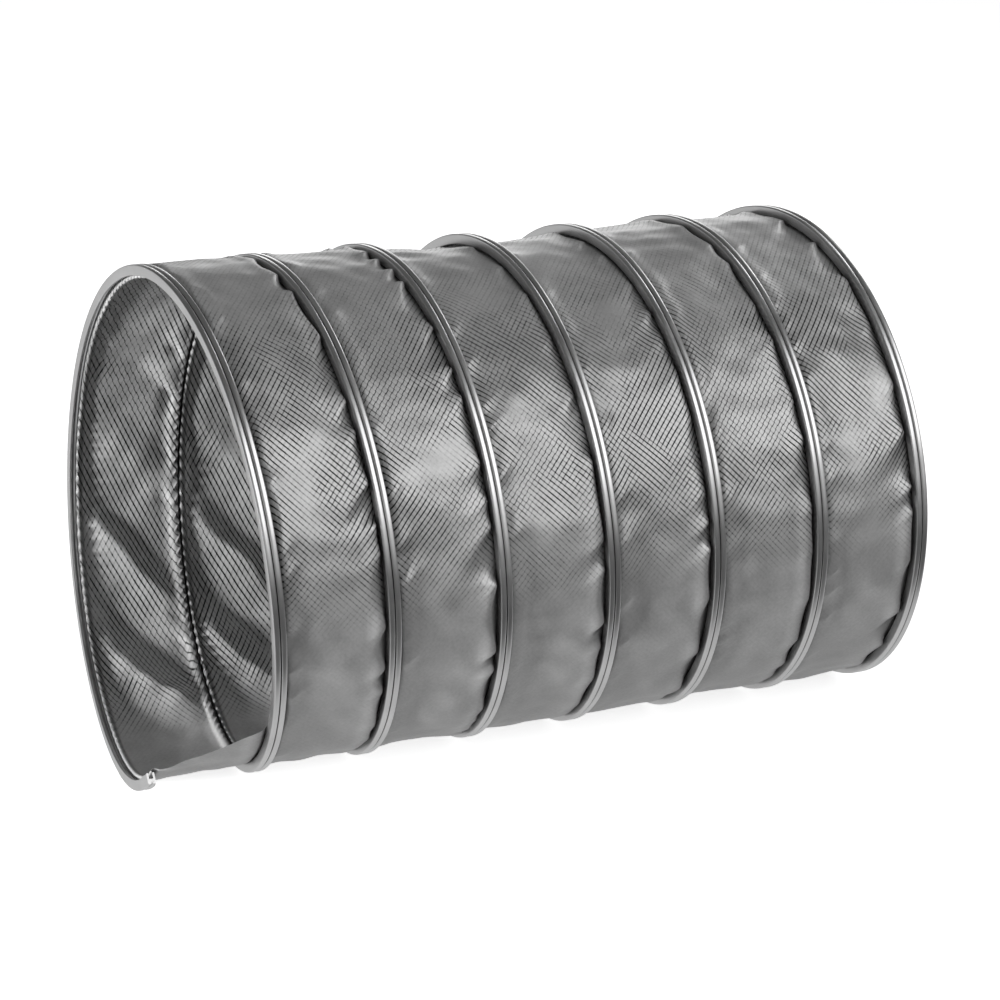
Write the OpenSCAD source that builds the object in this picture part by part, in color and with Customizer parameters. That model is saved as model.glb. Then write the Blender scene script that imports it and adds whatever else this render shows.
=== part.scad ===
// Flexible air duct: a woven cloth strip wound into a tube, with its edges held in
// one continuous rolled steel clip that runs round the outside as a helix.
// The duct's axis is +X, +Z is up, and the origin is on the axis at the inlet end.

/* [Duct] */
// Clear inside diameter, mm
bore_d = 150; // [80:1:300]
// Distance along the duct from one clip turn to the next, mm
pitch = 35; // [20:0.5:60]
// How far the clip runs past its first and last bottom point, degrees
tail_angle = 36; // [9:9:90]
// How far the cut edge of the cloth slants round the duct, degrees
cut_slant = 17; // [0:1:40]

/* [Cloth] */
// Thickness of the cloth edge that is folded into the clip, mm
hem_t = 0.5; // [0.3:0.05:0.8]
// Width of the band beside the clip in which the cloth rises from its fold, mm
fold_w = 3.2; // [2:0.1:6]
// Height of the cloth's outer face above the bore where the fold ends, mm
rise = 1.3; // [0.8:0.1:2]
// Extra height of the cloth's outer face half way between two turns, mm
crown = 0.6; // [0:0.1:1.5]
// Depth of the slack dents that run along the cloth, mm
dent = 0.35; // [0:0.05:0.5]

/* [Clip] */
// Height of the clip section, from its inner lips to its two ridges, mm
clip_h = 3.4; // [2.8:0.1:6]
// Thickness of the clip's rolled walls, mm
clip_wall = 0.95; // [0.6:0.05:1.5]
// Depth of the groove between the two ridges, mm
groove_d = 0.6; // [0.2:0.1:1]
// Height of the rounded shoulder outside each ridge, mm
shoulder = 0.9; // [0.4:0.1:1.2]
// Depth of the flats that the clip is pressed to where the duct lies, mm
flat_d = 0.5; // [0.3:0.1:1]

/* [Fit] */
// Gap between the cloth and the clip, and between two cloth edges, mm
seat_gap = 0.3; // [0.2:0.05:0.5]

/* [Resolution] */
// Flat facets in one full turn
steps = 40; // [24:4:72]

/* [Hidden] */
$fn = 240;

// the clip is divided into whole turns at its bottom points, where the duct bends
turns = 7;
tail = tail_angle / 360;
start_x = pitch * tail;
duct_l = pitch * (turns + 2 * tail);
// part of a turn over which a slanted cut fades out
fade = 1 / 8;

bore_r = bore_d / 2;
lip_r = bore_r + hem_t + seat_gap;
crest_r = lip_r + clip_h;
slot_top_r = crest_r - groove_d - clip_wall;
hem_top_r = slot_top_r - seat_gap;
slot_half = 1.5 * seat_gap + hem_t;
clip_half = slot_half + clip_wall;

clip_colour = [0.78, 0.79, 0.80];
cloth_colour = [0.50, 0.50, 0.51];

// a point of the duct: t turns past the first bottom point, s mm along it, at radius r
function at(t, s, r) = let (a = 360 * t - 90)
    [start_x + pitch * t + s, r * cos(a), r * sin(a)];

// places along the helix from t0 up to t1 but not at it, with so many to each step
function places_to(t0, t1, close) = let (n = ceil((t1 - t0) * steps * close - 0.001))
    [for (i = [0 : n - 1]) t0 + (t1 - t0) * i / n];
function places(t0, t1) = concat(places_to(t0, t1, 1), [t1]);

// places along a cloth band from t0 to t1, twice as close together where its cut slants
function band_places(t0, t1) = let (near = t0 < 0 ? t0 + fade : t0,
        far = t1 > turns - 1 ? t1 - fade : t1)
    concat(near > t0 ? places_to(t0, near, 2) : [], places_to(near, far, 1),
        far < t1 ? places_to(far, t1, 2) : [], [t1]);

// triangles of a closed profile of n points swept over m places
function swept_sides(n, m) = [for (i = [0 : m - 2], j = [0 : n - 1])
    let (a = i * n + j, b = i * n + (j + 1) % n)
    each [[a, b, b + n], [a, b + n, a + n]]];

// a section's triangles at both ends of a sweep whose last section starts at point last
function both_ends(wall, last) = concat([for (f = wall) [f[2], f[1], f[0]]],
    [for (f = wall) f + [last, last, last]]);

// the clip's section as [s, r] points: an open channel under two rounded ridges
function half_section() = [[clip_half * 0.4, crest_r],
    [clip_half * 0.78, crest_r - shoulder * 0.18], [clip_half, crest_r - shoulder],
    [clip_half, lip_r], [slot_half, lip_r], [slot_half, slot_top_r]];
function mirrored(pts) = [for (i = [len(pts) - 1 : -1 : 0]) [-pts[i][0], pts[i][1]]];
function clip_section() = concat([[0, crest_r - groove_d]], half_section(),
    mirrored(half_section()));

// the cloth band's section between two turns: hems, folds and crown over the bore.
// Its inner side lies inside the bore and is cut to it later.
function fold_end() = clip_half + seat_gap + fold_w;
function half_band(r_fold) = [[seat_gap / 2, bore_r - hem_t], [seat_gap / 2, hem_top_r],
    [seat_gap / 2 + hem_t, hem_top_r], [seat_gap / 2 + hem_t, bore_r + hem_t],
    [clip_half + seat_gap, bore_r + hem_t], [fold_end(), r_fold]];
function band_section(r_fold, r_mid) = let (left = half_band(r_fold))
    concat(left, [[pitch / 2, r_mid]],
        [for (p = mirrored(left)) [pitch + p[0], p[1]]]);

// slack dents: two slow waves round the duct that drift from turn to turn
function slack(t) = dent * (sin(360 * 1.3 * t + 40) + sin(360 * 2.6 * t) - 1) / 2;

// how far the cut edge slants at place t and width s, in turns: full at the cut, and
// faded out a little way round from it
function slant(t, s) = let (near = max(0, 1 - (t + tail) / fade),
        far = max(0, 1 - (turns - 1 + tail - t) / fade))
    cut_slant / 360 * (far * (1 - s / pitch) - near * s / pitch);

// least distance between two neighbouring turns of the clip, measured on its points
function turn_gap() = min([for (a = clip_section(), b = clip_section(), i = [0 : 5 : steps])
    norm(at(i / steps, a[0], a[1]) - at(i / steps + 1, b[0], b[1]))]);
echo(least_gap_between_clip_turns_mm = turn_gap());

// one length of clip from t0 to t1, pressed flat where the duct lies
module clip_length(t0, t1) {
    section = clip_section();
    ts = places(t0, t1);
    n = len(section);
    pts = [for (t = ts, p = section) at(t, p[0], p[1])];
    half = [[0, 1, 6], [1, 2, 6], [2, 3, 6], [3, 5, 6], [3, 4, 5]];
    wall = concat(half, [for (f = half) [(n - f[2]) % n, (n - f[1]) % n, (n - f[0]) % n]],
        [[0, 6, 7]]);
    difference() {
        polyhedron(pts, concat(swept_sides(n, len(ts)), both_ends(wall, len(pts) - n)));
        translate([-pitch, -crest_r, -crest_r - flat_d])
            cube([duct_l + 2 * pitch, 2 * crest_r, 2 * flat_d]);
    }
}

// one length of cloth band whose left edge runs from t0 to t1, bored to size
module band_length(t0, t1) {
    ts = band_places(t0, t1);
    n = len(band_section(0, 0));
    pts = [for (t = ts) let (fold_r = bore_r + rise + slack(t) / 2,
            mid_r = bore_r + rise + crown + slack(t))
        for (p = band_section(fold_r, mid_r))
            at(t + slant(t, p[0]), p[0], p[1])];
    fan = concat([for (j = [1 : n - 6]) [0, j, j + 1]], [[0, n - 5, n - 1]],
        [for (j = [n - 5 : n - 3]) [n - 1, j, j + 1]]);
    difference() {
        polyhedron(pts, concat(swept_sides(n, len(ts)), both_ends(fan, len(pts) - n)));
        translate([-pitch, 0, 0])
            rotate([0, 90, 0])
                cylinder(r = bore_r, h = duct_l + 2 * pitch);
    }
}

module clip_turn(k) {
    color(clip_colour)
        clip_length(k == 1 ? -tail : k - 1, k == turns ? turns + tail : k);
}

module fabric_turn(k) {
    color(cloth_colour)
        band_length(k == 1 ? -tail : k - 1, k == turns - 1 ? k + tail : k);
}

clip_turn(1);  // clip_turn_1
clip_turn(2);  // clip_turn_2
clip_turn(3);  // clip_turn_3
clip_turn(4);  // clip_turn_4
clip_turn(5);  // clip_turn_5
clip_turn(6);  // clip_turn_6
clip_turn(7);  // clip_turn_7
fabric_turn(1);  // fabric_turn_1
fabric_turn(2);  // fabric_turn_2
fabric_turn(3);  // fabric_turn_3
fabric_turn(4);  // fabric_turn_4
fabric_turn(5);  // fabric_turn_5
fabric_turn(6);  // fabric_turn_6
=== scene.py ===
"""The looks of a flexible air duct: a silver-grey woven cloth strip wound into a tube, with
its edges gripped by one rolled steel clip that runs round the outside as a helix."""
import math

import bpy
import numpy as np
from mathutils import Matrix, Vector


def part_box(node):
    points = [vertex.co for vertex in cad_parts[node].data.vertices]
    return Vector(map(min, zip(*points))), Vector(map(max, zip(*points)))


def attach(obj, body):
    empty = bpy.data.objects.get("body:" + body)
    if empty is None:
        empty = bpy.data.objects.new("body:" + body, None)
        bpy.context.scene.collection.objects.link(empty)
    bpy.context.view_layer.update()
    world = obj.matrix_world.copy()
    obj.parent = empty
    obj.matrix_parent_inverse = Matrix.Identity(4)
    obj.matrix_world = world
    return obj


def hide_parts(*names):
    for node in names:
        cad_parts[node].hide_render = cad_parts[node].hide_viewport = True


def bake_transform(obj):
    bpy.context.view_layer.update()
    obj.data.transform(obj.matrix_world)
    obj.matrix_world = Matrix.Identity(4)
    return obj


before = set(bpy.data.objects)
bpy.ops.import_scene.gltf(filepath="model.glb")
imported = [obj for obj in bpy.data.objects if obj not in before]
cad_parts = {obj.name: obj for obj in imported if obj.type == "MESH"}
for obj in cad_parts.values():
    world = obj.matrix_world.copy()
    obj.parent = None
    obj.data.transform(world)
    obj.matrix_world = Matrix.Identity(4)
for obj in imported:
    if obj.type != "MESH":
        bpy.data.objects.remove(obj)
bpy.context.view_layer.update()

# ---------------------------------------------------------------- the steel clip
# One strip of thin steel, rolled into an open channel with two rounded ridges and a groove
# between them, and closed round the two cloth edges that stand in its slot. It is cut
# square at both ends and pressed flat along the line on which the duct lies.
MM = 0.001
low_corner, high_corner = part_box("clip_turn_2")
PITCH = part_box("clip_turn_3")[0].x - low_corner.x
HALF_CLIP = (high_corner.x - low_corner.x - PITCH) / 2
FIRST_X = low_corner.x + HALF_CLIP - PITCH
CREST = high_corner.y
FLOOR_Z = low_corner.z
TURNS = 7
# part of a turn by which the first and the last turn run on to the cut ends
TAIL = 0.1
# the channel: its height from the lips to the ridges, and its slot for the cloth edges
CLIP_HEIGHT = 3.4 * MM
SLOT_HALF = 0.95 * MM
SLOT_TOP = CREST - 1.55 * MM
LIP_ROUND = 0.35 * MM
LIP_POINTS = 4
# each ridge: half its width, its drop to the wall beside it, how square its round is, and
# the angle over which the round runs to the groove
RIDGE_HALF = 0.9 * MM
RIDGE_DROP = 0.65 * MM
RIDGE_SQUARE = 2.8
RIDGE_TURN = math.radians(172)
RIDGE_POINTS = 17
# how far the groove's bottom lies below the end of that round
GROOVE_DROP = 0.15 * MM
# the shears leave each cut end narrower by this share, over this part of a turn
NIP = 0.36
NIP_LENGTH = 0.012
# rows of points to a turn
CLIP_ROWS = 360


def on_duct(t, s, r):
    """Points of the duct: t turns past the first bottom point, s along the axis from the
    clip's centre line and r out from the axis. x = first + pitch t + s, y = r cos a and
    z = r sin a, where a is t full turns less a quarter."""
    a = 2 * np.pi * t - np.pi / 2
    return np.stack([FIRST_X + PITCH * t + s, r * np.cos(a), r * np.sin(a)], axis=-1)


def places_along(turn, last, rows):
    """The places t along one turn of a strip, with so many rows to a turn: from the bottom
    point before it to the one after it, and on by the tail at either end of the strip."""
    begin = turn - 1 - (TAIL if turn == 1 else 0)
    end = turn + (TAIL if turn == last else 0)
    return np.linspace(begin, end, round(rows * (end - begin)) + 1)[:, None]


def quarter_round(centre, start):
    """A lip's quarter round in the section: centre plus the lip's radius times (cos, sin)
    of an angle that runs a quarter turn on from start, in degrees."""
    angle = np.radians(np.linspace(start, start + 90, LIP_POINTS))
    return np.stack([centre[0] + LIP_ROUND * np.cos(angle),
                     centre[1] + LIP_ROUND * np.sin(angle)], axis=-1)


def clip_section():
    """The clip's section as (s, r) points, from the slot's right wall outward over both
    ridges to its left wall. Each ridge is a squarish round, |s|^n + |r|^n = 1 about its
    centre in parts of its half width and its drop, and the groove between them is closed by
    one point a little lower."""
    lip_centre = CREST - CLIP_HEIGHT + LIP_ROUND
    angle = np.linspace(0, RIDGE_TURN, RIDGE_POINTS)
    cosine, sine = np.cos(angle), np.sin(angle)
    s = HALF_CLIP - RIDGE_HALF + (
        RIDGE_HALF * np.sign(cosine) * abs(cosine) ** (2 / RIDGE_SQUARE))
    r = CREST - RIDGE_DROP * (1 - sine ** (2 / RIDGE_SQUARE))
    half = np.concatenate([
        [[SLOT_HALF, SLOT_TOP]],
        quarter_round((SLOT_HALF + LIP_ROUND, lip_centre), 180),
        quarter_round((HALF_CLIP - LIP_ROUND, lip_centre), 270),
        np.stack([s, r], axis=-1),
    ])
    groove = [[0, r[-1] - GROOVE_DROP]]
    return np.concatenate([half, groove, half[::-1] * [-1, 1]])


SECTION = clip_section()
# how far each point of the section lies across the flat strip
GIRTH = np.append(0, np.cumsum(np.linalg.norm(np.diff(SECTION, axis=0), axis=1)))


def clip_points(t):
    """The clip's points for rows at t: its section set round the duct, narrower by a cosine
    towards a cut end, and no lower than the floor."""
    from_cut = np.minimum(t + TAIL, TURNS + TAIL - t) / NIP_LENGTH
    width = 1 - NIP * (0.5 + 0.5 * np.cos(np.pi * np.clip(from_cut, 0, 1)))
    points = on_duct(t, SECTION[:, 0] * width, SECTION[:, 1])
    points[..., 2] = np.maximum(points[..., 2], FLOOR_Z)
    return points


def keep_ends_sharp(mesh, ends):
    """Marks the edges whose two points are both among the ends as sharp."""
    at_end = np.zeros(len(mesh.vertices), bool)
    at_end[ends] = True
    pairs = np.zeros(2 * len(mesh.edges), np.int32)
    mesh.edges.foreach_get("vertices", pairs)
    sharp = mesh.attributes.new("sharp_edge", "BOOLEAN", "EDGE")
    sharp.data.foreach_set("value", at_end[pairs.reshape(-1, 2)].all(axis=1))


def skin(name, points, flat, around=False):
    """A mesh over a grid of points, whose rows lie across the strip, one after another along
    it. around joins the last column to the first and closes both ends. flat is where each
    point lies on the flat strip, in metres, and becomes the UV map."""
    rows, columns = points.shape[:2]
    index = np.arange(rows * columns).reshape(rows, columns)
    near = index if around else index[:, :-1]
    far = np.roll(index, -1, axis=1) if around else index[:, 1:]
    quads = np.stack([near[:-1], near[1:], far[1:], far[:-1]], axis=-1).reshape(-1, 4)
    faces = quads.tolist()
    if around:
        faces += [index[0].tolist(), index[-1][::-1].tolist()]
    mesh = bpy.data.meshes.new(name)
    mesh.from_pydata(points.reshape(-1, 3), [], faces)
    mesh.shade_smooth()
    corner = np.zeros(len(mesh.loops), np.int32)
    mesh.loops.foreach_get("vertex_index", corner)
    layer = mesh.uv_layers.new(name="strip")
    layer.uv.foreach_set("vector", flat.reshape(-1, 2)[corner].astype(np.float32).ravel())
    if around:
        keep_ends_sharp(mesh, index[[0, -1]])
    piece = bpy.data.objects.new(name, mesh)
    bpy.context.scene.collection.objects.link(piece)
    return piece


class Wire:
    """One value in a material's nodes. Arithmetic on it adds Math nodes."""

    def __init__(self, tree, socket=None):
        self.tree = tree
        self.socket = socket

    def add(self, kind, settings=None, inputs=None, output=0):
        """A node of one kind, with its settings set first and then its inputs, which are
        values or other wires by their name or number. It gives one of the outputs."""
        node = self.tree.nodes.new(kind)
        for name, value in (settings or {}).items():
            setattr(node, name, value)
        for name, value in (inputs or {}).items():
            if isinstance(value, Wire):
                self.tree.links.new(value.socket, node.inputs[name])
            else:
                node.inputs[name].default_value = value
        return Wire(self.tree, node.outputs[output])

    def maths(self, operation, *values, clamp=False):
        """A Math node over the values."""
        settings = {"operation": operation, "use_clamp": clamp}
        return self.add("ShaderNodeMath", settings, dict(enumerate(values)))

    def __add__(self, other):
        return self.maths("ADD", self, other)

    def __radd__(self, other):
        return self.maths("ADD", other, self)

    def __sub__(self, other):
        return self.maths("SUBTRACT", self, other)

    def __rsub__(self, other):
        return self.maths("SUBTRACT", other, self)

    def __mul__(self, other):
        return self.maths("MULTIPLY", self, other)

    def __rmul__(self, other):
        return self.maths("MULTIPLY", other, self)

    def __lt__(self, other):
        return self.maths("LESS_THAN", self, other)

    def __abs__(self):
        return self.maths("ABSOLUTE", self)

    def __floor__(self):
        return self.maths("FLOOR", self)

    def part(self):
        """What is left of the value above its whole number."""
        return self.maths("FRACT", self)

    def clamped(self):
        """The value, held between 0 and 1."""
        return self.maths("ADD", self, 0, clamp=True)

    def between(self, low, high):
        """0 below low, 1 above high, and a smooth step between them."""
        settings = {"interpolation_type": "SMOOTHSTEP"}
        inputs = {"Value": self, "From Min": low, "From Max": high}
        return self.add("ShaderNodeMapRange", settings, inputs)

    def axis(self, letter):
        """The X, Y or Z of a vector."""
        return self.add("ShaderNodeSeparateXYZ", inputs={0: self}, output=letter)

    def noise(self, scale, detail):
        """Smooth noise from 0 to 1 over this place."""
        inputs = {"Vector": self, "Scale": scale, "Detail": detail}
        return self.add("ShaderNodeTexNoise", inputs=inputs)

    def tint(self, low, high):
        """A colour that runs from low to high as the value runs from 0 to 1. Of a Mix node's
        sockets, inputs 6 and 7 and output 2 are those for colours."""
        inputs = {0: self, 6: low, 7: high}
        return self.add("ShaderNodeMix", {"data_type": "RGBA"}, inputs, output=2)


def grey(level):
    return (level, level, level, 1)


def new_material(name):
    """An empty material, and a wire to start its nodes from."""
    material = bpy.data.materials.new(name)
    material.use_nodes = True
    material.node_tree.nodes.clear()
    return material, Wire(material.node_tree)


def finish_material(start, **inputs):
    """The Principled surface with these inputs, joined to the output."""
    surface = start.add("ShaderNodeBsdfPrincipled", inputs=inputs)
    output = start.tree.nodes.new("ShaderNodeOutputMaterial")
    start.tree.links.new(surface.socket, output.inputs["Surface"])


# the lines that the rolls draw on the steel: how many to a metre across and along it
ROLL_LINES = (900, 16, 0)
# patches dulled by handling: how many to a metre, and the noise at their two edges
DULL_SCALE = 55.0
DULL_EDGES = (0.42, 0.68)
# distances from the groove's middle at which the shade painted on its bottom ends and bare
# steel begins
GROOVE_SHADE_EDGES = (0.1 * MM, 0.38 * MM)
GROOVE_SHADE_GREY = 0.05
# the steel's grey at its darkest and at its brightest, and the patches' share in it
STEEL_GREYS = (0.6, 0.74)
DULL_SHARE = 0.6
# the steel's roughness, and what the lines and the patches add to it
STEEL_ROUGH = 0.27
LINES_ROUGH = 0.04
DULL_ROUGH = 0.08


def rolled_steel():
    """Bright steel strip with faint drawn lines along its length from the rolls, slightly
    dulled in patches by handling, and with shade painted dark at the bottom of the groove."""
    material, start = new_material("rolled_steel")
    strip = start.add("ShaderNodeUVMap", {"uv_map": "strip"})
    place = start.add("ShaderNodeTexCoord", output="Object")
    stretched = start.add("ShaderNodeVectorMath", {"operation": "MULTIPLY"},
                          {0: strip, 1: ROLL_LINES})
    lines = stretched.noise(scale=1.0, detail=1.0)
    dull = place.noise(DULL_SCALE, detail=3.0).between(*DULL_EDGES)
    # the bottom of the groove is painted dark, as the shade that falls there
    outside_groove_shade = abs(strip.axis("X") - GIRTH[-1] / 2).between(*GROOVE_SHADE_EDGES)
    darkest, brightest = STEEL_GREYS
    bare = ((1 - DULL_SHARE) * lines + DULL_SHARE * dull).tint(grey(darkest), grey(brightest))
    finish_material(start, **{
        "Base Color": outside_groove_shade.tint(grey(GROOVE_SHADE_GREY), bare),
        "Metallic": 1.0,
        "Roughness": STEEL_ROUGH + LINES_ROUGH * lines + DULL_ROUGH * dull})
    return material


steel = rolled_steel()
for turn in range(1, TURNS + 1):
    t = places_along(turn, TURNS, CLIP_ROWS)
    flat = np.stack(np.broadcast_arrays(GIRTH, 2 * np.pi * CREST * t), axis=-1)
    clip = skin(f"clip_{turn}", clip_points(t), flat, around=True)
    clip.data.materials.append(steel)
    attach(clip, f"turn_{turn}")
    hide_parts(f"clip_turn_{turn}")

# ---------------------------------------------------------------- the cloth strip
# One long strip of coated woven cloth. Both of its edges are turned outward into the
# clip's slot, and between two turns of the clip it is slack: it balloons, folds slantwise
# and is gathered in small puckers where the clip grips it.
LAST = TURNS - 1
# the flat strip: its width, hems and all, and its length round one turn of mean radius
MEAN_RADIUS = 77 * MM
STRIP_LENGTH = 2 * np.pi * MEAN_RADIUS
# rows of points to a turn
CLOTH_ROWS = 960
# half of the folded edge as (s, r), from the hem's top in the slot round under the lip
HEM = np.array([[0.45, 77.3], [0.45, 76.6], [0.42, 75.95], [0.34, 75.55], [0.42, 75.25],
                [0.66, 75.06], [1.0, 75.0], [1.4, 75.06], [1.85, 75.18]]) * MM
# columns of points from the hem to the middle, and how much they crowd towards the hem
OPEN_COLUMNS = 27
CROWDING = 1.35
# radius at which the open cloth starts, and how far it stays below the ridges
UNDER_LIP = 75.25 * MM
UNDER_RIDGE = 0.3 * MM


def cloth_columns():
    """The columns across the strip: their places s, their radius where they belong to a
    folded edge, which is 0 for the open cloth, and their places across the flat strip. The
    open ones lie at s = hem's end + (middle - hem's end) x share^crowding, and the second
    half mirrors the first."""
    share = np.linspace(0, 1, OPEN_COLUMNS + 1)[1:]
    hem_end = HEM[-1, 0]
    half = np.append(HEM[:, 0], hem_end + (PITCH / 2 - hem_end) * share ** CROWDING)
    held = np.append(HEM[:, 1], np.zeros(OPEN_COLUMNS))
    column = np.append(half, PITCH - half[-2::-1])
    held = np.append(held, held[-2::-1])
    radius = np.where(held > 0, held, UNDER_LIP)
    across = np.append(0, np.cumsum(np.hypot(np.diff(column), np.diff(radius))))
    return column, held, across


COLUMN, HELD, ACROSS = cloth_columns()
FROM_EDGE = np.minimum(COLUMN, PITCH - COLUMN)
FROM_CLIP = np.maximum(FROM_EDGE - HALF_CLIP, 0)

# Tables of what changes round a turn, as (place, value): place 0 is the bottom, 0.25 the
# back, 0.5 the top and 0.75 the front.
# how much the cloth is sunk towards the bore
SUNK = [(0, 0.4), (0.04, 1), (0.3, 1), (0.4, 0), (0.95, 0), (1, 0.4)]
# how strongly the gathered edges stand out inside
GATHERED = [(0, 0.2), (0.06, 1), (0.2, 1), (0.4, 0.35), (0.7, 0.6), (1, 0.2)]
# how clearly the weave shows: painted plain where the lamps' sheen falls and faint elsewhere
WEAVE_SHOWN_WHERE_LIT = [(0, 0), (0.03, 0), (0.08, 1), (0.42, 1), (0.49, 0.1), (0.53, 0.1),
               (0.57, 0.35), (0.62, 1), (0.71, 1), (0.78, 0), (1, 0)]
# where one family of yarns stands proud of the other
YARNS_PROUD = [(0, 0), (0.05, 0), (0.1, 1), (0.56, 1), (0.62, 0), (1, 0)]


def past_bottom(t):
    """What part of a turn a place lies past the bottom point before it."""
    return t - np.floor(t)


def round_turn(table, t):
    """A table's value at t, joined by straight lines between its places."""
    places, values = zip(*table)
    return np.interp(past_bottom(t), places, values)


def bell(x, middle, width):
    """exp(-((x - middle) / width)^2)."""
    return np.exp(-((x - middle) / width) ** 2)


# the puckers along an edge: their mean spacing, the gaps between them in parts of it, their
# sizes, how much larger the large ones are and what share of all they make up
PUCKER = 15.5 * MM
PUCKER_GAPS = (0.45, 1.6)
PUCKER_SIZES = (0.35, 1.05)
LARGE_PUCKER = 1.7
LARGE_SHARE = 0.3
# the power that rounds a hollow, the table's points in each, and how many times as many
# are drawn as the strip needs on the average
PUCKER_ROUND = 0.8
PUCKER_POINTS = 24
SPARE_PUCKERS = 1.3


def puckers(seed):
    """How far the clip draws the cloth in along one edge, as a table over the distance
    along it: 0 at narrow ridges that stand at uneven distances, and between two of them a
    lopsided hollow, size times sin(pi x^0.8)^0.8, as x runs from 0 to 1. The first gap
    begins a quarter turn and two puckers before the first bottom point."""
    draw = np.random.default_rng(seed)
    count = int(STRIP_LENGTH * (TURNS + 1) / PUCKER * SPARE_PUCKERS) + 2
    gaps = PUCKER * draw.uniform(*PUCKER_GAPS, count)
    ridges = np.cumsum(gaps) - 2 * PUCKER - STRIP_LENGTH / 4
    size = draw.uniform(*PUCKER_SIZES, count) * draw.choice(
        [1.0, LARGE_PUCKER], count, p=[1 - LARGE_SHARE, LARGE_SHARE])
    places = np.linspace(ridges[0], ridges[-1], PUCKER_POINTS * count)
    gap = np.clip(np.searchsorted(ridges, places, side="right") - 1, 0, count - 2)
    x = np.clip((places - ridges[gap]) / (ridges[gap + 1] - ridges[gap]), 0, 1)
    return places, size[gap] * np.abs(np.sin(np.pi * x ** PUCKER_ROUND)) ** PUCKER_ROUND


# The two edges of the open cloth. For each: every column's distance from the clip there,
# the hollows of its puckers and how they slant, the reach within which the cloth rises and
# what a hollow adds to it, and the depth and length of the pleats that a hollow sends out.
SIDES = [
    dict(distance=np.maximum(COLUMN - HALF_CLIP, 0), hollows=puckers(5), slant=0.7,
         reach=0.45 * MM, hollow_reach=1.1 * MM, pleat=0.45 * MM, pleat_length=6 * MM),
    dict(distance=np.maximum(PITCH - HALF_CLIP - COLUMN, 0), hollows=puckers(11), slant=-0.7,
         reach=0.4 * MM, hollow_reach=2.6 * MM, pleat=0.5 * MM, pleat_length=7 * MM),
]
RISE_POWER = 1.6
# the cloth bulges between two hollows, this far from the clip and this widely
BULGE = 0.75 * MM
BULGE_AT = 3 * MM
BULGE_WIDTH = 2.4 * MM
# distance from the clip within which folds fade out
FOLD_FADE = 4 * MM

# lengths of the slack's waves, shortest and longest, and how many are summed
BROAD_WAVES = (22 * MM, 60 * MM)
MEDIUM_WAVES = (9 * MM, 20 * MM)
FINE_WAVES = (3.5 * MM, 8 * MM)
WAVE_COUNT = 18


def waves(seed, shortest, longest):
    """Numbers across and along the strip, and phases, of random waves whose sum makes smooth
    noise."""
    draw = np.random.default_rng(seed)
    angle = draw.uniform(0, 2 * np.pi, WAVE_COUNT)
    size = np.exp(draw.uniform(np.log(shortest), np.log(longest), WAVE_COUNT))
    phase = draw.uniform(0, 2 * np.pi, WAVE_COUNT)
    return 2 * np.pi / size * np.cos(angle), 2 * np.pi / size * np.sin(angle), phase


def slackness(v, made):
    """Smooth noise of about -1 to 1 over the strip: the sum of the waves' sines over the
    root of their number."""
    total = 0
    for across, along, phase in zip(*made):
        total = total + np.sin(across * COLUMN + along * v + phase)
    return total / math.sqrt(WAVE_COUNT)


broad = waves(3, *BROAD_WAVES)
medium = waves(8, *MEDIUM_WAVES)
fine = waves(21, *FINE_WAVES)

# near the bottom points and the cut ends the cloth lies calmer: over what part of a turn,
# and by what share
CALM_WIDTH = 0.13
CUT_CALM_WIDTH = 0.1
CALM_SHARE = 0.8
# how far the cloth balloons at the bottom, at the top of each turn and at a cut end
BALLOON_BOTTOM = 2.2 * MM
BALLOON_TOP = np.array([3.3, 2.6, 0.5, 0.3, 1.6, 1.5]) * MM
BALLOON_CUT = 0.45 * MM
# what the broad waves add to the balloon, and what it loses where it is sunk
BALLOON_WAVES = 0.45 * MM
SUNK_DEPTH = 1.4 * MM
# heights of the smaller waves, and of the whole stretch that carries the deep folds
MEDIUM_HEIGHT = 0.16 * MM
FINE_HEIGHT = 0.015 * MM
BACK_HEIGHT = 0.3 * MM
# deep folds behind the duct: their places along a slanting line, how far each stands out,
# how far the whole set is shifted on each turn, how far it wanders, and the shifts over
# which it is rounded
FOLD_SLOPE = 1.16
FOLD_AT = np.array([14, 38, 61, 79, 105, 115, 138, 152]) * MM
FOLD_OUT = np.array([0.0, 1.5, -2.0, 2.2, -1.9, 1.2, -0.7, 0.0]) * MM
FOLD_SHIFT = np.array([0, 1, 9, -7, 12, -4]) * MM
FOLD_WANDER = 1.5 * MM
FOLD_ROUNDING = np.array([-1.8, -0.9, 0, 0.9, 1.8]) * MM
# they fade in past the bottom, and fade out before the place where they end
FOLDS_IN = 0.07
FOLDS_END = 0.37
FOLDS_OUT = 0.1


def turn_of(t):
    """The turn that a place belongs to, counted from 0."""
    return np.clip(np.floor(t), 0, LAST - 1).astype(int)


def at_cut(t):
    """1 at a cut end of the strip, fading to 0 a little way round from it."""
    return np.clip(1 - np.minimum(t + TAIL, LAST + TAIL - t) / CUT_CALM_WIDTH, 0, 1)


def balloon(t, drift):
    """How far the middle of the cloth stands above its edges: set at the top and at the
    bottom of each turn and joined by a squared cosine, with broad waves added, lower where
    it is sunk, and nearly flat at a cut end."""
    share = ((1 - np.cos(2 * np.pi * t)) / 2) ** 2
    height = BALLOON_BOTTOM + (BALLOON_TOP[turn_of(t)] - BALLOON_BOTTOM) * share
    height = height + BALLOON_WAVES * drift - SUNK_DEPTH * round_turn(SUNK, t)
    return height + (BALLOON_CUT - height) * at_cut(t)


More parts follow.
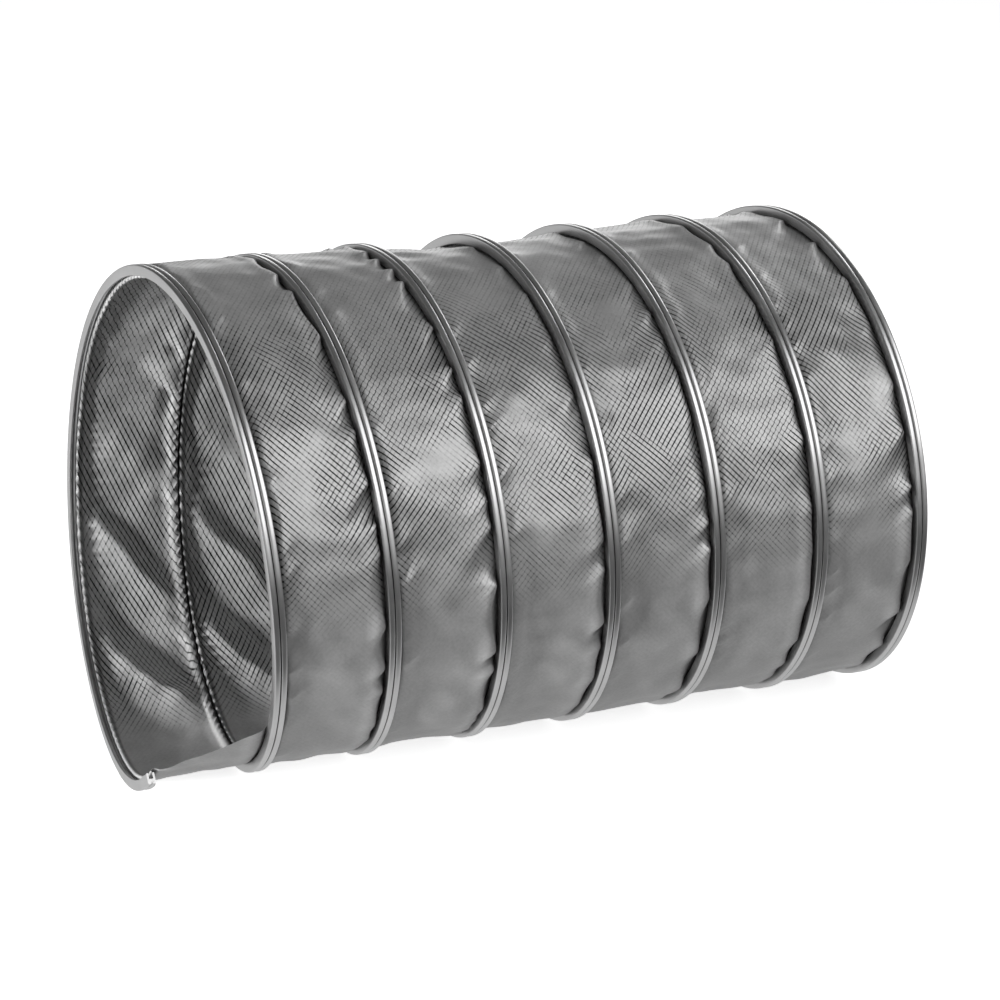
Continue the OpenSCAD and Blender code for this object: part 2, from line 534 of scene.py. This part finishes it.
def deep_folds(t, drift):
    """How far the folds behind the duct stand out: their table over length + slope x s,
    rounded over a few millimetres, inside a smooth step in and out."""
    past = past_bottom(t)
    behind = np.clip(past / FOLDS_IN, 0, 1) * np.clip((FOLDS_END - past) / FOLDS_OUT, 0, 1)
    behind = behind ** 2 * (3 - 2 * behind)
    place = STRIP_LENGTH * past + FOLD_SLOPE * COLUMN + FOLD_SHIFT[turn_of(t)]
    place = place + FOLD_WANDER * drift
    folds = sum(np.interp(place + shift, FOLD_AT, FOLD_OUT) for shift in FOLD_ROUNDING)
    return behind * (folds / len(FOLD_ROUNDING) + BACK_HEIGHT)


def beside_clip(v, calm, distance, hollows, slant, reach, hollow_reach, pleat, pleat_length):
    """Along one edge, how far the cloth has risen, as 0 to 1, how far it bulges between two
    hollows, in parts of the full bulge, and how deep a pleat runs out from a hollow. The
    rise is 1 - exp(-(distance / reach)^1.6), and the reach grows with the hollow's square."""
    hollow = np.interp(v + slant * distance, *hollows) * (1 - CALM_SHARE * calm)
    rise = 1 - np.exp(-(distance / (reach + hollow_reach * hollow ** 2)) ** RISE_POWER)
    bulge = (1 - hollow) * bell(distance, BULGE_AT, BULGE_WIDTH)
    return rise, bulge, pleat * hollow * np.exp(-distance / pleat_length)


def open_cloth(t, v):
    """The radius of the cloth, and how far it has risen from the clips, as 0 to 1: radius =
    edge + (balloon + bulge) x rise + folds + waves - pleats, the last three of which fade
    out beside the clips, and no higher than a little below the ridges. Where the clip holds
    the cloth, the radius is the folded edge's."""
    calm = np.maximum(bell(t, np.round(t), CALM_WIDTH), at_cut(t))
    first, second = [beside_clip(v, calm, **side) for side in SIDES]
    rise, bulge, pleat = first[0] * second[0], first[1] + second[1], first[2] + second[2]
    drift = slackness(v, broad)
    relief = deep_folds(t, drift) - pleat + (
        MEDIUM_HEIGHT * slackness(v, medium) + FINE_HEIGHT * slackness(v, fine))
    for side in SIDES:
        relief = relief * (1 - np.exp(-side["distance"] / FOLD_FADE))
    height = balloon(t, drift) + BULGE * bulge * (1 - CALM_SHARE * calm)
    radius = np.minimum(UNDER_LIP + height * rise + relief, CREST - UNDER_RIDGE)
    return np.where(HELD > 0, HELD, radius), rise


# the gathers of the two edges, which show inside like a twisted cord: how far from the
# clip's centre line they lie, how widely, their length, how they slant and wander, and how
# far the second edge's are out of step with the first's
GATHER_AT = 0.8 * MM
GATHER_WIDTH = 1.1 * MM
GATHER_LENGTH = 3.9 * MM
GATHER_SLANT = 0.9
GATHER_WANDER = 3.5
WANDER_LENGTH = 11 * MM
GATHER_OFFSET = 2.2
# they come and go along the edge over these two lengths, and never fade below a share
PATCH_LENGTH = 13 * MM
PATCH_WANDER = 1.7
PATCH_WANDER_LENGTH = 31 * MM
LEAST_GATHER = 0.25
# they fade out, over a depth, up to this radius
GATHER_TOP = 76.3 * MM
GATHER_DEPTH = 0.6 * MM
# how far they swing to the sides and dip towards the axis
GATHER_SWING = 0.35 * MM
GATHER_DIP = 0.5 * MM


def gathers(t, v, radius):
    """How strongly the gathers stand at each point, as 0 to 1, and their beat, an angle that
    makes a full turn over each of them."""
    beat = 2 * np.pi * (v + GATHER_SLANT * FROM_EDGE) / GATHER_LENGTH
    beat = beat + GATHER_WANDER * np.sin(v / WANDER_LENGTH)
    beat = beat + np.where(COLUMN > PITCH / 2, GATHER_OFFSET, 0.0)
    wander = PATCH_WANDER * np.sin(v / PATCH_WANDER_LENGTH)
    patchy = 0.5 + 0.5 * np.sin(v / PATCH_LENGTH + wander)
    strong = bell(FROM_EDGE, GATHER_AT, GATHER_WIDTH) * round_turn(GATHERED, t)
    strong = strong * (LEAST_GATHER + (1 - LEAST_GATHER) * patchy)
    return strong * np.clip((GATHER_TOP - radius) / GATHER_DEPTH, 0, 1), beat


# shade painted beside the clip and how far it reaches, shade painted on cloth that hasn't
# risen, down in its hollows, and what is added to that where it is sunk
CLIP_PAINTED_SHADE = 0.4
CLIP_PAINTED_SHADE_WIDTH = 0.8 * MM
LOW_PAINTED_SHADE = 0.2
SUNK_PAINTED_SHADE = 0.4
# shade painted low on the front, its place in the turn and its width, and how much of all
# painted shade the tops of the gathers lose, a painted highlight on them
FRONT_PAINTED_SHADE = 0.26
FRONT_PAINTED_SHADE_AT = 0.86
FRONT_PAINTED_SHADE_WIDTH = 0.06
GATHER_PAINTED_HIGHLIGHT = 0.6


def painted_shade_on(t, rise, strong, beat):
    """How much shade is painted on each point, as 0 to 1: the sum of the kinds above."""
    # shade painted beside the clip, where it stands over the cloth
    painted_shade = CLIP_PAINTED_SHADE * bell(FROM_CLIP, 0, CLIP_PAINTED_SHADE_WIDTH)
    # shade painted on cloth down in its hollows, more where it is sunk
    painted_shade = painted_shade + (LOW_PAINTED_SHADE + SUNK_PAINTED_SHADE * round_turn(SUNK, t)) * (1 - rise)
    # shade painted low on the front
    painted_shade = painted_shade + FRONT_PAINTED_SHADE * bell(past_bottom(t), FRONT_PAINTED_SHADE_AT, FRONT_PAINTED_SHADE_WIDTH)
    # painted highlight: the tops of the gathers lose some of the painted shade
    return np.clip(painted_shade - GATHER_PAINTED_HIGHLIGHT * strong * np.maximum(np.cos(beat), 0), 0, 1)


# how far the cut edge slants, in turns, and over what part of a turn the slant fades out
CUT_SLANT = 17 / 360
SLANT_FADE = 1 / 8
# the yarns are fewer along the strip by twice this share behind the duct, by none in front
FEWER_YARNS = 0.235


def slanted(t, turn):
    """The places t with the cut ends slanted: a cut edge stays in place beside the clip's
    tail, and on the strip's other edge it runs on by the whole slant."""
    near = np.clip(1 - (t + TAIL) / SLANT_FADE, 0, None) * (turn == 1)
    far = np.clip(1 - (LAST + TAIL - t) / SLANT_FADE, 0, None) * (turn == LAST)
    share = COLUMN / PITCH
    return t + CUT_SLANT * (far * (1 - share) - near * share)


def cloth_turn(turn):
    """One turn of the cloth: the places t of its grid, its points, where they lie in the
    weave, and their looks, which are painted shade, how clearly the weave shows, painted
    plain where the lamps' sheen falls, and how far one family of yarns stands proud."""
    t = slanted(places_along(turn, LAST, CLOTH_ROWS), turn)
    v = STRIP_LENGTH * t
    radius, rise = open_cloth(t, v)
    strong, beat = gathers(t, v, radius)
    painted_shade = painted_shade_on(t, rise, strong, beat)
    points = on_duct(t, COLUMN + GATHER_SWING * np.sin(beat) * strong,
                     radius - GATHER_DIP * (1 + np.cos(beat)) * strong)
    drawn = (1 - FEWER_YARNS) * v + (
        FEWER_YARNS * STRIP_LENGTH / (2 * np.pi) * np.cos(2 * np.pi * t))
    weave = np.stack(np.broadcast_arrays(ACROSS, drawn), axis=-1)
    looks = np.stack([painted_shade, round_turn(WEAVE_SHOWN_WHERE_LIT, t), round_turn(YARNS_PROUD, t)], axis=-1)
    return t, points, weave, looks


def follow_next(t, turn):
    """A share for each point, 0 at this turn's clip and 1 at the next one's. Between them it
    is share^((1 - p) / p), where share is how far across the strip the point lies and p how
    far round the turn, so both tails take the value of their own clips. Nothing uses it."""
    share = np.clip((COLUMN - HALF_CLIP) / (PITCH - 2 * HALF_CLIP), 0, 1)
    least = 1e-4
    p = np.clip(t - (turn - 1), least, 1 - least)
    return np.where(t <= turn - 1, 0, np.where(t >= turn, 1, share ** ((1 - p) / p)))


# The two families of yarns: how much the count of yarns grows over a metre across and over
# a metre along the strip. As they run along it, the falling ones come back across it and
# the rising ones go on across it.
FALLING_YARNS = (530, 480)
RISING_YARNS = (-500, 460)
# how far noise pulls them out of line, in yarns
PULL = 1.6
PULL_SCALE = 16.0
# parts of the way from a yarn's middle to its edge at which the dark gap begins and is full
GAP_EDGES = (0.64, 0.84)
# the yarns go over two and under two: each crossing is a quarter of the pattern, and those
# in its first half lie over
CROSSING_STEP = 0.25
OVER_BELOW = 0.49
OVER_CONTRAST = 0.3
# what makes one family stand proud: patches of noise, and the looks
PROUD_SCALE = 42.0
PROUD_NOISE = 9
PROUD_LOOKS = 1.4
# how dark the gaps of a family are where it stands proud and where it doesn't, and what is
# added where two gaps cross
PROUD_GAP = 0.95
SUNK_GAP = 0.2
CROSSED_GAP = 0.5
# in some patches the falling family's gaps are broken beside every other yarn that crosses
BROKEN_SCALE = 26.0
BROKEN_EDGES = (0.5, 0.58)
BROKEN_BELOW = 0.45
BROKEN_SHARE = 0.85
# specks of coating in the gaps
SPECK_SCALE = 420.0
SPECK_EDGES = (0.36, 0.6)
SPECK_SHARE = 0.35
# patches where the coating hides the weave, all but its least
FADE_SCALE = 38.0
FADE_EDGES = (0.25, 0.5)
LEAST_WEAVE = 0.03
# the cloth's grey: its range, its level, and how much shade, grain, weave and painted shade
# change it
CLOTH_GREYS = (0.012, 0.56)
CLOTH_LEVEL = 0.59
SHADE_SCALE = 90.0
SHADE_LEVEL = 0.3
GRAIN_SCALE = 1100.0
GRAIN_LEVEL = 0.26
WEAVE_LEVEL = 1.15
PAINTED_SHADE_LEVEL = 0.7
# the silvery coating: how metallic and how rough it is, what shade and weave add to that,
# and how deep and how clear the gaps are
COATING_METALLIC = 0.5
COATING_ROUGH = 0.36
SHADE_ROUGH = 0.1
WEAVE_ROUGH = 0.1
GAP_DEPTH = 0.12 * MM
GAP_STRENGTH = 0.35


def yarn_gaps(strip, place, proud):
    """How dark the gaps between the yarns are. Each family's yarns are counted by a sum of
    the places across and along the strip, and a gap lies about each whole number. Gaps show
    beside whichever yarn is on top, and where one family stands proud, its gaps alone."""
    across, along = strip.axis("X"), strip.axis("Y")
    pull = place.noise(PULL_SCALE, detail=1.0) * PULL
    falling = across * FALLING_YARNS[0] + along * FALLING_YARNS[1] + pull
    rising = across * RISING_YARNS[0] + along * RISING_YARNS[1] + pull
    falling_gap = abs(2 * falling.part() - 1).between(*GAP_EDGES)
    rising_gap = abs(2 * rising.part() - 1).between(*GAP_EDGES)
    crossing = (math.floor(falling) - math.floor(rising)) * CROSSING_STEP
    over = (crossing.part() < OVER_BELOW) - 0.5
    lean = (place.noise(PROUD_SCALE, detail=1.0) - 0.5) * PROUD_NOISE + proud * PROUD_LOOKS
    choose = (0.5 + lean + over * OVER_CONTRAST).clamped()
    every_other = (rising * 0.5 + math.floor(falling) * 0.5).part() < BROKEN_BELOW
    broken = place.noise(BROKEN_SCALE, detail=1.0).between(*BROKEN_EDGES)
    falling_gap = falling_gap * (1 - broken * every_other * BROKEN_SHARE)
    lines = rising_gap * (PROUD_GAP - (PROUD_GAP - SUNK_GAP) * choose) + (
        falling_gap * (SUNK_GAP + (PROUD_GAP - SUNK_GAP) * choose)) + (
        CROSSED_GAP * falling_gap * rising_gap)
    speck = place.noise(SPECK_SCALE, detail=1.0).between(*SPECK_EDGES)
    return lines * (1 - SPECK_SHARE + SPECK_SHARE * speck)


def woven_cloth():
    """Silvery coated cloth woven on the bias: two families of flat yarns cross at a right
    angle, two over and two under, and the coating fills the gaps in patches."""
    material, start = new_material("woven_cloth")
    strip = start.add("ShaderNodeUVMap", {"uv_map": "strip"})
    place = start.add("ShaderNodeTexCoord", output="Object")
    looks = start.add("ShaderNodeAttribute", {"attribute_name": "looks"}, output="Vector")
    painted_shade, shown_where_lit, proud = looks.axis("X"), looks.axis("Y"), looks.axis("Z")
    fade = place.noise(FADE_SCALE, detail=2.0).between(*FADE_EDGES)
    lines = yarn_gaps(strip, place, proud)
    # the weave's lines are painted plain only where the lamps' sheen falls
    weave = lines * (LEAST_WEAVE + (1 - LEAST_WEAVE) * fade * shown_where_lit)
    shade = place.noise(SHADE_SCALE, detail=3.0)
    grain = place.noise(GRAIN_SCALE, detail=1.0)
    level = SHADE_LEVEL * shade + GRAIN_LEVEL * grain + CLOTH_LEVEL - WEAVE_LEVEL * weave
    # the painted shade darkens the grey beside the clips, in hollows and low on the front
    level = (level * (1 - PAINTED_SHADE_LEVEL * painted_shade)).clamped()
    darkest, brightest = CLOTH_GREYS
    bump = start.add("ShaderNodeBump", inputs={
        "Strength": GAP_STRENGTH, "Distance": GAP_DEPTH, "Height": 1 - weave})
    finish_material(start, **{
        "Base Color": level.tint(grey(darkest), grey(brightest)),
        "Metallic": COATING_METALLIC,
        "Roughness": COATING_ROUGH + SHADE_ROUGH * shade + WEAVE_ROUGH * weave,
        "Normal": bump})
    return material


cloth_finish = woven_cloth()
for turn in range(1, LAST + 1):
    t, points, weave, looks = cloth_turn(turn)
    cloth = skin(f"cloth_{turn}", points, weave)
    cloth.data.attributes.new("looks", "FLOAT_VECTOR", "POINT").data.foreach_set(
        "vector", looks.astype(np.float32).ravel())
    cloth.data.materials.append(cloth_finish)
    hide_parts(f"fabric_turn_{turn}")
    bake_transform(cloth)
    follow_next(t, turn).astype(np.float32).ravel()

# ---------------------------------------------------------------- the studio
# A plain white floor under the duct, a broad soft lamp in front, two behind, one at the
# open end that shines along the bore, and a camera that looks along and slightly down on
# the duct from that end.
scene = bpy.context.scene
AIM = np.array([FIRST_X + TURNS / 2 * PITCH, 0, 0])
TURN_LEFT = math.radians(22.89)
LOOK_DOWN = math.radians(18.39)
CAMERA_DISTANCE = 11.56 * CREST
SLIDE_RIGHT = 0.0601 * CREST
SLIDE_UP = -0.0753 * CREST
IMAGE_WIDTH = 1000
FOCAL_PIXELS = 2872
SENSOR_WIDTH = 36


def add_camera():
    """A camera that aims at the duct's middle, turned left, looking down and slid a little
    sideways and down."""
    data = bpy.data.cameras.new("camera")
    data.sensor_width = SENSOR_WIDTH
    data.lens = SENSOR_WIDTH * FOCAL_PIXELS / IMAGE_WIDTH
    camera = bpy.data.objects.new("camera", data)
    scene.collection.objects.link(camera)
    camera.rotation_euler = (math.pi / 2 - LOOK_DOWN, 0, -TURN_LEFT)
    ahead = np.array([math.sin(TURN_LEFT) * math.cos(LOOK_DOWN),
                      math.cos(TURN_LEFT) * math.cos(LOOK_DOWN), -math.sin(LOOK_DOWN)])
    right = np.array([math.cos(TURN_LEFT), -math.sin(TURN_LEFT), 0])
    up = np.cross(right, ahead)
    camera.location = AIM - CAMERA_DISTANCE * ahead + SLIDE_RIGHT * right + SLIDE_UP * up
    return camera


scene.camera = add_camera()
LAMP_DISTANCE = 1.2


def soft_lamp(name, toward, size, brightness):
    """A broad lamp in a direction from the duct, facing it. Its power is pi times its area
    times its brightness."""
    data = bpy.data.lights.new(name, "AREA")
    data.shape = "RECTANGLE"
    data.size, data.size_y = size
    data.energy = math.pi * size[0] * size[1] * brightness
    lamp = bpy.data.objects.new(name, data)
    scene.collection.objects.link(lamp)
    # it is turned while its location still holds the direction alone
    lamp.location = toward
    lamp.rotation_mode = "QUATERNION"
    lamp.rotation_quaternion = lamp.location.to_track_quat("Z", "Y")
    lamp.location = AIM + LAMP_DISTANCE * np.array(toward) / np.linalg.norm(toward)
    lamp.visible_camera = False
    return lamp


soft_lamp("front_lamp", toward=(0.38, -0.78, 0.5), size=(1.3, 0.9), brightness=1.95)
soft_lamp("back_lamp", toward=(0.75, 0.4, 0.55), size=(0.3, 0.6), brightness=3.0)
soft_lamp("rear_lamp", toward=(0.5, 0.85, 0.22), size=(0.8, 0.4), brightness=1.9)
# this one lights the folds inside at a grazing angle, and metal doesn't mirror it
side_lamp = soft_lamp("side_lamp", toward=(-1.0, -0.11, -0.02), size=(0.5, 0.2),
                      brightness=260.0)
side_lamp.visible_glossy = False

FLOOR_HALF = 30.0
# the floor glows by itself a little: to the camera, through glass and in metal
SEEN_GLOW = 0.7
GLASS_GLOW = 0.15
METAL_GLOW = 0.5
# a dark sheet that only metal sees lies on the floor in front of the duct: at its near and
# at its far edge, the distances from the duct's axis over which it fades
DARK_BEGINS = (0.078, 0.12)
DARK_ENDS = (0.45, 1.0)
DARK_GREY = 0.13
# the floor's paint as the camera sees it, and as all else does
SEEN_PAINT = 0.85
DIM_PAINT = 0.22
FLOOR_ROUGH = 0.9


def pale_floor():
    """White paint, dimmer to the duct than to the camera, with the dark sheet on it."""
    material, start = new_material("pale_floor")
    seen = start.add("ShaderNodeLightPath", output="Is Camera Ray")
    mirrored = start.add("ShaderNodeLightPath", output="Is Glossy Ray")
    through = start.add("ShaderNodeLightPath", output="Is Transmission Ray")
    front = -1 * start.add("ShaderNodeTexCoord", output="Object").axis("Y")
    dark = mirrored * (front.between(*DARK_BEGINS) * (1 - front.between(*DARK_ENDS)))
    glow = SEEN_GLOW * seen + GLASS_GLOW * through + METAL_GLOW * mirrored
    paint = seen.tint(grey(DIM_PAINT), grey(SEEN_PAINT))
    finish_material(start, **{
        "Base Color": dark.tint(paint, grey(DARK_GREY)),
        "Roughness": FLOOR_ROUGH,
        "Specular IOR Level": 0.0,
        "Emission Color": (glow * (1 - dark)).tint(grey(0.0), grey(1.0)),
        "Emission Strength": 1.0})
    return material


floor_mesh = bpy.data.meshes.new("floor")
corners = [(-FLOOR_HALF, -FLOOR_HALF), (FLOOR_HALF, -FLOOR_HALF), (FLOOR_HALF, FLOOR_HALF),
           (-FLOOR_HALF, FLOOR_HALF)]
floor_mesh.from_pydata([(x, y, FLOOR_Z) for x, y in corners], [], [(0, 1, 2, 3)])
floor_mesh.materials.append(pale_floor())
floor = bpy.data.objects.new("floor", floor_mesh)
scene.collection.objects.link(floor)

# the room's light at the horizon, and what is added to it up to overhead
SKY_LEVEL = 0.07
SKY_RISE = 0.32
# the room as metal sees it, and a pale wall in it that fades out between two heights
ROOM_LEVEL = 0.1
WALL_LEVEL = 0.5
WALL_EDGES = (0.05, 0.22)


def studio_room():
    """White to the camera, and to everything else a dim room that brightens upward, in which
    metal sees a pale wall round the duct."""
    world = bpy.data.worlds.new("studio")
    world.use_nodes = True
    world.node_tree.nodes.clear()
    start = Wire(world.node_tree)
    seen = start.add("ShaderNodeLightPath", output="Is Camera Ray")
    mirrored = start.add("ShaderNodeLightPath", output="Is Glossy Ray")
    upward = start.add("ShaderNodeTexCoord", output="Generated").axis("Z")
    wall = 1.0 - upward.between(*WALL_EDGES)
    sky = SKY_LEVEL + SKY_RISE * upward.between(0, 1)
    room = sky + mirrored * (ROOM_LEVEL + WALL_LEVEL * wall - sky)
    back = start.add("ShaderNodeBackground", inputs={
        "Color": grey(1.0), "Strength": seen + (1 - seen) * room})
    output = world.node_tree.nodes.new("ShaderNodeOutputWorld")
    world.node_tree.links.new(back.socket, output.inputs["Surface"])
    return world


scene.world = studio_room()
scene.view_settings.view_transform = "Standard"
